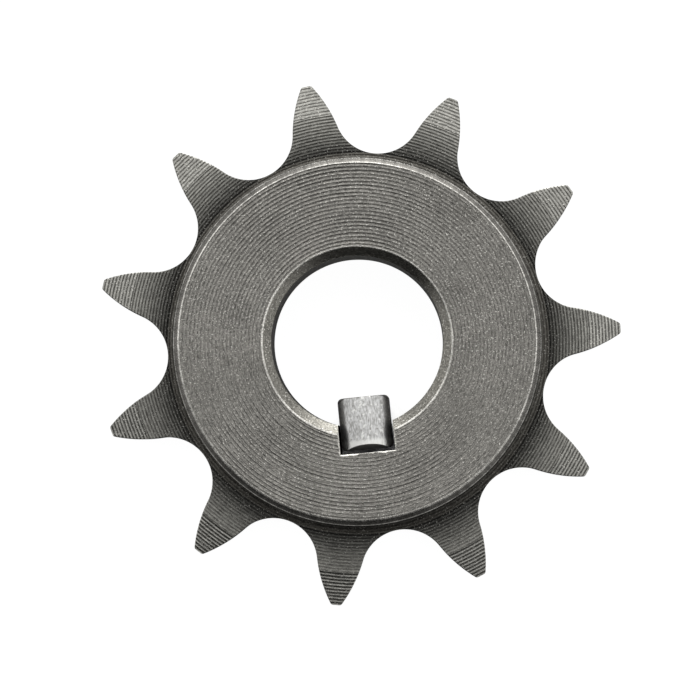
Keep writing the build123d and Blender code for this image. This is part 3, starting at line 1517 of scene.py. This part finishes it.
@dataclass
class Key:
    """The loose parallel key with round ends, its lead bevelled and its crown edges almost sharp."""

    width_mm: float = 4.9
    height_mm: float = 5.0
    length_mm: float = 10.0
    outer_face_mm: float = 10.225

    # The ends are flatter than half circles: how far they rise, and the power of their curve
    crown_rise_mm: float = 2.1
    crown_power: float = 2.3
    arc_steps: int = 64
    flank_levels: int = 9

    # The edge break, which widens between two directions of the outline's normal, 1 being sideways
    flank_rim_mm: float = 0.45
    crown_rim_mm: float = 0.08
    rim_widens_from: float = 0.6
    rim_widens_over: float = 0.38
    rim_steps: int = 6
    # How far inside the break a row of points keeps the face flat, in breaks
    flat_margin: float = 0.4

    lead_height_mm: float = 0.5
    lead_length_mm: float = 0.75
    lead_overrun_mm: float = 2.0

    def outline(self) -> list[tuple[float, float, float, float]]:
        """Lays out the key in the XZ plane in mm, round from the right flank over the crown.

        Returns:
            For each point its place and its outward normal.
        """
        radius, rise, power = self.width_mm / 2, self.crown_rise_mm, self.crown_power
        low, high = rise, self.length_mm - rise
        upper = []
        for turn in np.linspace(0, math.pi, self.arc_steps + 1):
            across = math.copysign(abs(math.cos(turn)) ** (2 / power), math.cos(turn))
            up = max(0.0, math.sin(turn)) ** (2 / power)
            normal = np.array([
                math.copysign(abs(across) ** (power - 1), across) / radius,
                up ** (power - 1) / rise,
            ])
            normal /= np.hypot(*normal)
            upper.append((radius * across, high + rise * up, float(normal[0]), float(normal[1])))
        lower = [(-x, low - (z - high), -across, -up) for x, z, across, up in upper]
        levels = np.linspace(high, low, self.flank_levels)[1:-1]
        left = [(-radius, level, -1.0, 0.0) for level in levels]
        right = [(radius, level, 1.0, 0.0) for level in reversed(levels)]
        return upper + left + lower + right

    def rim(self, sideways: float) -> float:
        """Works out the radius of the edge break, which eases from the crown's to the flanks'.

        Args:
            sideways: how far sideways the outline's normal points, from -1 to 1.

        Returns:
            The radius in mm.
        """
        share = min(1.0, max(0.0, (abs(sideways) - self.rim_widens_from) / self.rim_widens_over))
        eased = share * share * (3 - 2 * share)
        return self.crown_rim_mm + (self.flank_rim_mm - self.crown_rim_mm) * eased

    def blank(self, materials: list[bpy.types.Material]) -> bpy.types.Object:
        """Builds the key without its lead bevel.

        Args:
            materials: one for each of its cuts, in order.

        Returns:
            The key with a worn edge all round both of its faces.
        """
        outline = self.outline()
        far, near = -self.outer_face_mm, self.height_mm - self.outer_face_mm
        turns = np.radians(np.linspace(0, 90, self.rim_steps + 1))
        breaks = [(1.0 + self.flat_margin, 0.0)]
        breaks += [(1 - math.sin(turn), 1 - math.cos(turn)) for turn in turns]
        levels = [(inset, far, depth) for inset, depth in breaks]
        levels += [(inset, near, -depth) for inset, depth in reversed(breaks)]
        skin = SkinMesh()
        rows = []
        for inset, face, depth in levels:
            row = []
            for x, z, across, up in outline:
                rim = self.rim(across)
                row.append((x - across * rim * inset, face + rim * depth, z - up * rim * inset))
            rows.append(skin.add_row(row))
        skin.add_face(rows[0], KeyCut.GROUND)
        skin.add_face(rows[-1][::-1], KeyCut.GROUND)
        # All strips are worn but the flat ones at both faces and the wall between the breaks
        ground = {0, len(breaks) - 1, len(rows) - 2}
        for number, (low, high) in enumerate(zip(rows, rows[1:])):
            skin.join_rows(high, low, KeyCut.GROUND if number in ground else KeyCut.WORN)
        return skin.place("ground_key", materials)

    def lead(self, materials: list[bpy.types.Material]) -> bpy.types.Object:
        """Builds the wedge that the lead bevel takes away.

        Args:
            materials: one for each of the key's cuts, in order.

        Returns:
            The solid to cut with.
        """
        top, far = self.length_mm, -self.outer_face_mm
        reach_y, reach_z = self.lead_height_mm, self.lead_length_mm
        # The first two points carry the bevel's plane on past both of its edges
        section = [
            (far + 2 * reach_y, top + reach_z),
            (far - reach_y, top - 2 * reach_z),
            (far - self.lead_overrun_mm, top - 2 * reach_z),
            (far - self.lead_overrun_mm, top + reach_z),
        ]
        skin = SkinMesh()
        left, right = (skin.add_row((side * self.width_mm, y, z) for y, z in section) for side in (-1, 1))
        skin.add_face(left, KeyCut.BEVEL)
        skin.add_face(right[::-1], KeyCut.BEVEL)
        skin.join_rows(right, left, KeyCut.BEVEL)
        return skin.place("lead", materials)

    def finishes(self) -> dict[KeyCut, GroundKeySteel]:
        """Chooses the finish of each kind of surface.

        Returns:
            One finish for each cut.
        """
        return {
            # Rounded on a belt, with a painted highlight toward its outer face: the palest metal here
            KeyCut.GROUND: GroundKeySteel(),
            # Ground across the corner: it leans away from the light, so its colour is painted even and dark
            # as shade
            KeyCut.BEVEL: GroundKeySteel("belted_bevel_steel", colour="5b5a57", scuff_colour="373634"),
            # Edges that wore round in the keyway: greyer and duller than the faces
            KeyCut.WORN: GroundKeySteel(
                "worn_edge_steel", colour="a2a19d", scuff_colour="696864", roughness=0.42
            ),
        }

    def build(self) -> bpy.types.Object:
        """Builds the finished key in the place of its CAD node.

        Returns:
            The object, dressed and riding on its body.
        """
        finishes = self.finishes()
        materials = [finishes[cut].material() for cut in KeyCut]
        made = self.blank(materials)
        carve(made, self.lead(materials))
        made.data.shade_smooth()
        made.data.set_sharp_from_angle(angle=math.radians(CORNER_DEG))
        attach(made, BODY)
        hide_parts("key")
        log.info("key: %d faces", len(made.data.polygons))
        return made


@dataclass(frozen=True)
class StudioFloor:
    """A white table that the sprocket lies on, with shade painted into its glow where no light gets in."""

    size_mm: float = 3000.0
    # It lies a hair below the back face, so that the two never fight for the same place
    drop_mm: float = 0.02
    glow: float = 0.97
    card_colour: str = "626262"
    reach_mm: float = 12.0
    rays: int = 16
    # The share of open sky below which the camera sees black, and above which it sees white
    slit_span: Span = (0.05, 0.12)
    # What the metal sees of the table: a painted glow, dim on the near side and brighter on the far side, and
    # where these lie
    near_glow: float = 0.17
    far_glow: float = 0.50
    fade_span_m: Span = (-0.05, 0.10)
    turn_deg: float = 13.6

    def build(self) -> bpy.types.Object:
        """Lays the floor under the back face.

        Returns:
            The floor, which is not attached to the part's body.
        """
        half = self.size_mm / 2
        corners = [(-half, -half, 0.0), (half, -half, 0.0), (half, half, 0.0), (-half, half, 0.0)]
        skin = SkinMesh()
        skin.add_face(skin.add_row(corners), 0)
        made = skin.place("floor", [self.paint()])
        made.location.z = -self.drop_mm * MM
        return made

    def paint(self) -> bpy.types.Material:
        """Mixes a matt white that shows as white to the camera and in the metal, and still takes a shadow.

        Returns:
            The paint.
        """
        paint = bpy.data.materials.new("white_table")
        paint.use_nodes = True
        tree = paint.node_tree
        tree.nodes.remove(tree.nodes["Principled BSDF"])
        open_sky = add_node(
            tree, "ShaderNodeAmbientOcclusion", {"samples": self.rays}, {"Distance": self.reach_mm * MM}
        ).outputs["AO"]
        # Painted shade: the camera loses the white only in slits, and the metal loses it by degrees and on
        # the near side
        seen = add_node(
            tree,
            "ShaderNodeMapRange",
            inputs={
                "Value": open_sky,
                "From Min": self.slit_span[0],
                "From Max": self.slit_span[1],
                "To Min": 0.0,
                "To Max": self.glow,
            },
        )
        turn = math.radians(self.turn_deg)
        beyond = (math.sin(turn), math.cos(turn), 0.0)
        place = add_node(tree, "ShaderNodeNewGeometry").outputs["Position"]
        away = add_node(tree, "ShaderNodeVectorMath", {"operation": "DOT_PRODUCT"}, {0: place, 1: beyond})
        lit = add_node(
            tree,
            "ShaderNodeMapRange",
            {"interpolation_type": "SMOOTHSTEP"},
            {
                "Value": away.outputs["Value"],
                "From Min": self.fade_span_m[0],
                "From Max": self.fade_span_m[1],
                "To Min": self.near_glow,
                "To Max": self.far_glow,
            },
        )
        mirrored = add_node(
            tree, "ShaderNodeMath", {"operation": "MULTIPLY"}, {0: lit.outputs[0], 1: open_sky}
        )
        ray = add_node(tree, "ShaderNodeLightPath")
        glow = add_node(
            tree,
            "ShaderNodeMix",
            {"data_type": "FLOAT"},
            {0: ray.outputs["Is Camera Ray"], 2: mirrored.outputs[0], 3: seen.outputs[0]},
        )
        shine = add_node(
            tree,
            "ShaderNodeMath",
            {"operation": "MAXIMUM"},
            {0: ray.outputs["Is Glossy Ray"], 1: ray.outputs["Is Transmission Ray"]},
        )
        any_view = add_node(
            tree,
            "ShaderNodeMath",
            {"operation": "MAXIMUM"},
            {0: ray.outputs["Is Camera Ray"], 1: shine.outputs[0]},
        )
        strength = add_node(
            tree, "ShaderNodeMath", {"operation": "MULTIPLY"}, {0: glow.outputs[0], 1: any_view.outputs[0]}
        )
        matt = add_node(tree, "ShaderNodeBsdfDiffuse", inputs={"Color": linear(self.card_colour)})
        light = add_node(tree, "ShaderNodeEmission", inputs={"Strength": strength.outputs[0]})
        white = add_node(tree, "ShaderNodeAddShader", inputs={0: matt.outputs[0], 1: light.outputs[0]})
        tree.links.new(white.outputs[0], tree.nodes["Material Output"].inputs["Surface"])
        return paint


@dataclass(frozen=True)
class Studio:
    """The light: a pale room, darker on the near side, and a soft box on the far side."""

    screen_turn_deg: float = 18.6
    wall_turn_deg: float = 9.6
    box_turn_deg: float = -4.4

    # How bright each part of the room is
    near_room: float = 0.86
    far_room: float = 1.18
    near_side: float = 0.075
    far_wall: float = 4.7

    # Where each part fades, by how far a heading points its way, from -1 to 1
    screen_depth: Span = (-0.34, -0.12)
    screen_width: Span = (0.5, 0.95)
    room_slope: Span = (-0.7, 0.7)
    wall_edge: Span = (0.76, 1.0)

    @staticmethod
    def towards(turn_deg: float) -> Vector:
        """Gives the direction on the table that lies this far round from +Y, clockwise from above."""
        turn = math.radians(turn_deg)
        return Vector((math.sin(turn), math.cos(turn), 0.0))

    def build(self) -> None:
        """Makes the room and the lamp."""
        bpy.context.scene.world = self.make_room()
        self.soft_box("top_box", lean_deg=32, distance_m=1.0, size_m=0.42, watts=0.55)

    def make_room(self) -> bpy.types.World:
        """Makes the room as the metal sees it, pale all round but for a dark screen on the near side.

        Returns:
            The world, which is plain white to the camera.
        """
        world = bpy.data.worlds.new("studio_room")
        world.use_nodes = True
        tree = world.node_tree
        screen_top = self.towards(self.screen_turn_deg)
        directions = {
            "away": screen_top,
            "aside": Vector((screen_top.y, -screen_top.x, 0.0)),
            "wall": self.towards(self.wall_turn_deg),
            "box": self.towards(self.box_turn_deg),
        }
        heading = add_node(tree, "ShaderNodeTexCoord").outputs["Generated"]
        along = {
            name: add_node(
                tree, "ShaderNodeVectorMath", {"operation": "DOT_PRODUCT"}, {0: heading, 1: tuple(direction)}
            ).outputs["Value"]
            for name, direction in directions.items()
        }
        width = add_node(tree, "ShaderNodeMath", {"operation": "ABSOLUTE"}, {0: along["aside"]})
        fades = {
            "near": (along["away"], self.screen_depth, (1.0, 0.0)),
            "narrow": (width.outputs[0], self.screen_width, (1.0, 0.0)),
            "slope": (along["box"], self.room_slope, (self.near_room, self.far_room)),
            "far": (along["wall"], self.wall_edge, (0.0, 1.0)),
        }
        eased = {
            name: add_node(
                tree,
                "ShaderNodeMapRange",
                {"interpolation_type": "SMOOTHSTEP"},
                {
                    "Value": value,
                    "From Min": span[0],
                    "From Max": span[1],
                    "To Min": levels[0],
                    "To Max": levels[1],
                },
            ).outputs[0]
            for name, (value, span, levels) in fades.items()
        }
        screen = add_node(
            tree, "ShaderNodeMath", {"operation": "MULTIPLY"}, {0: eased["near"], 1: eased["narrow"]}
        )
        walled = add_node(
            tree,
            "ShaderNodeMix",
            {"data_type": "FLOAT"},
            {0: eased["far"], 2: eased["slope"], 3: self.far_wall},
        )
        dimmed = add_node(
            tree,
            "ShaderNodeMix",
            {"data_type": "FLOAT"},
            {0: screen.outputs[0], 2: walled.outputs[0], 3: self.near_side},
        )
        ray = add_node(tree, "ShaderNodeLightPath")
        shown = add_node(
            tree,
            "ShaderNodeMix",
            {"data_type": "FLOAT"},
            {0: ray.outputs["Is Camera Ray"], 2: dimmed.outputs[0], 3: 1.0},
        )
        tree.links.new(shown.outputs[0], tree.nodes["Background"].inputs["Strength"])
        tree.nodes["Background"].inputs["Color"].default_value = (1.0, 1.0, 1.0, 1.0)
        return world

    def soft_box(self, name: str, lean_deg: float, distance_m: float, size_m: float, watts: float) -> None:
        """Hangs a soft box on the far side, facing the sprocket.

        Args:
            name: the lamp's name.
            lean_deg: how far it hangs from straight overhead.
            distance_m: how far it is from the sprocket.
            size_m: the side of its square face.
            watts: its power.
        """
        lean = math.radians(lean_deg)
        place = self.towards(self.box_turn_deg) * math.sin(lean) + Vector((0, 0, 1)) * math.cos(lean)
        lamp = bpy.data.lights.new(name, "AREA")
        lamp.size = size_m
        lamp.energy = watts
        made = bpy.data.objects.new(name, lamp)
        made.location = place * distance_m
        made.rotation_euler = (-place).to_track_quat("-Z", "Y").to_euler()
        made.visible_camera = False
        bpy.context.scene.collection.objects.link(made)


@dataclass(frozen=True)
class TopCamera:
    """The camera, almost straight above the hub's face."""

    distance_m: float = 0.3723
    focal_px: float = 3949.7
    image_px: float = 700.0
    sensor_mm: float = 36.0
    lean_right_deg: float = 1.01
    lean_down_deg: float = 1.28
    turn_deg: float = 5.6
    aim_right_mm: float = -0.669
    aim_down_mm: float = 0.811
    aim_height_mm: float = 10.0
    nearest_m: float = 0.01
    farthest_m: float = 20.0

    def build(self) -> bpy.types.Object:
        """Makes the scene's camera.

        Returns:
            The camera, aimed and in use.
        """
        turn = math.radians(self.turn_deg)
        up = Vector((math.sin(turn), math.cos(turn), 0.0))
        right = Vector((math.cos(turn), -math.sin(turn), 0.0))
        aim = (right * self.aim_right_mm - up * self.aim_down_mm) * MM
        aim.z = self.aim_height_mm * MM
        to_right = right * math.tan(math.radians(self.lean_right_deg))
        down = up * math.tan(math.radians(self.lean_down_deg))
        back = (to_right - down + Vector((0, 0, 1))).normalized()
        across = up.cross(back).normalized()
        upright = back.cross(across)
        lens = bpy.data.cameras.new("camera")
        lens.sensor_width = self.sensor_mm
        lens.lens = self.focal_px / self.image_px * self.sensor_mm
        lens.clip_start = self.nearest_m
        lens.clip_end = self.farthest_m
        made = bpy.data.objects.new("camera", lens)
        bpy.context.scene.collection.objects.link(made)
        made.matrix_world = Matrix((across, upright, back)).transposed().to_4x4()
        made.location = aim + back * self.distance_m
        bpy.context.scene.camera = made
        return made


def main() -> None:
    """Builds the pieces, the floor, the light and the camera; the pieces log their triangle and face counts.
    """
    logging.basicConfig(level=logging.INFO, format="%(name)s %(message)s")
    bpy.context.scene.view_settings.view_transform = "Standard"
    Sprocket().build()
    Key().build()
    StudioFloor().build()
    Studio().build()
    TopCamera().build()


if __name__ == "__main__":
    main()
